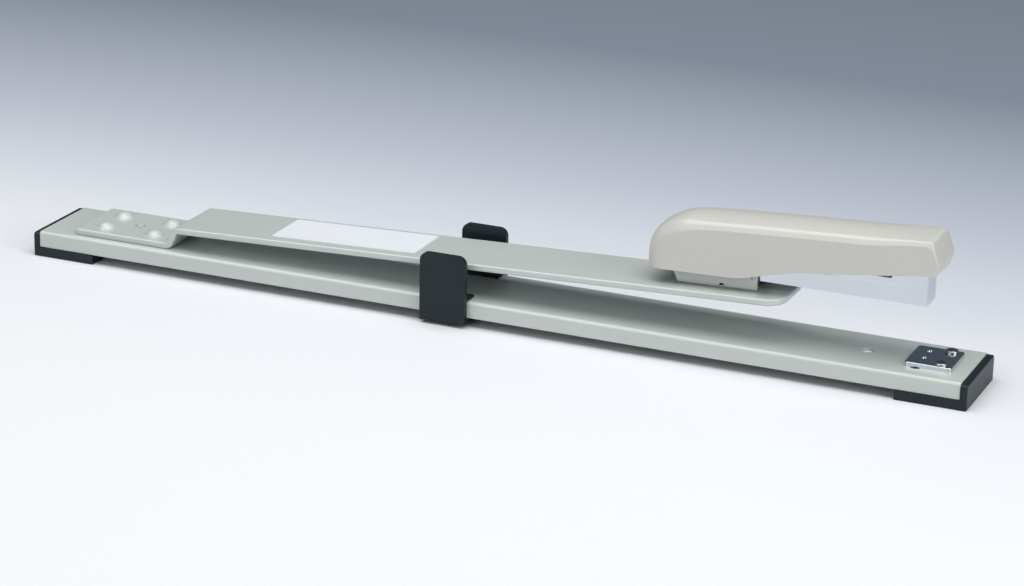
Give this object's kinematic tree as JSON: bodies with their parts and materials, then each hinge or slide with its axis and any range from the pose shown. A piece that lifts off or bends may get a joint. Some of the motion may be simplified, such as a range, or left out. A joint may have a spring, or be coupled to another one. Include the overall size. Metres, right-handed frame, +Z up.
{
  "type": "long-arm stapler",
  "caption": "Long-arm stapler: channel base on end caps, riveted spring arm, hinged stapling head with magazine and press handle, sliding paper guide, screwed anvil.",
  "frame": {"origin": "on the surface the stapler stands on, under the middle of its base", "axes": "+Z up, +X along the base towards the anvil, +Y across it; symmetrical about Y = 0 apart from the label"},
  "size_m": [0.45, 0.0482, 0.0685],
  "materials": {
    "grey_green_paint": "satin grey-green baked enamel on pressed steel",
    "black_plastic": "fine-grained blue-black moulded plastic",
    "ivory_plastic": "semi-gloss warm ivory-grey moulded plastic",
    "chrome_plate": "bright nickel-chrome plate on sheet steel",
    "bare_steel": "zinc-plated sheet steel",
    "spring_steel": "drawn spring wire",
    "screw_steel": "bright nickel-plated screw steel",
    "staple_wire": "bright galvanised wire, glued strip",
    "label_paper": "white film label, left blank"
  },
  "bodies": {
    "base": {"base_channel": "grey_green_paint", "front_end_cap": "black_plastic", "rear_end_cap": "black_plastic", "anvil_plate": "chrome_plate", "anvil_screws": "screw_steel", "anvil_nuts": "screw_steel", "arm_mount_plate": "grey_green_paint", "arm_rivets": "grey_green_paint"},
    "guide": {"paper_guide": "black_plastic"},
    "arm": {"arm": "grey_green_paint", "spec_label": "label_paper", "head_bracket": "grey_green_paint", "bracket_rivets": "bare_steel", "pivot_pin": "bare_steel", "stop_pin": "grey_green_paint"},
    "magazine": {"magazine_channel": "chrome_plate", "staple_core": "bare_steel", "pusher_rod": "bare_steel", "staple_strip": "staple_wire", "handle_spring": "spring_steel", "pusher_spring": "spring_steel"},
    "pusher": {"staple_pusher": "bare_steel"},
    "handle": {"handle_cover": "ivory_plastic", "handle_frame": "bare_steel", "driver_blade": "bare_steel", "driver_rivets": "bare_steel"}
  },
  "joints": [
    {"name": "arm_flex", "type": "hinge", "parent": "base", "child": "arm", "pos_m": [-0.15392, 0, 0.01745], "axis": [0, 1, 0], "range_deg": [0, 3.6], "stiffness_Nm_per_rad": 135, "springref_deg": -0.69},
    {"name": "magazine_tilt", "type": "hinge", "parent": "arm", "child": "magazine", "pos_m": [0.088, 0, 0.0465], "axis": [0, -1, 0], "range_deg": [0, 4]},
    {"name": "handle_press", "type": "hinge", "parent": "magazine", "child": "handle", "pos_m": [0.088, 0, 0.0465], "axis": [0, -1, 0], "range_deg": [-4.4, 62], "stiffness_Nm_per_rad": 2.5, "springref_deg": 0.69, "deforming": ["handle_spring"]},
    {"name": "pusher_slide", "type": "slide", "parent": "magazine", "child": "pusher", "axis": [1, 0, 0], "range_m": [-0.038, 0], "stiffness_N_per_m": 40, "springref_m": 0.06, "deforming": ["pusher_spring"]},
    {"name": "guide_slide", "type": "slide", "parent": "base", "child": "guide", "axis": [1, 0, 0], "range_m": [-0.12, 0.1]}
  ]
}
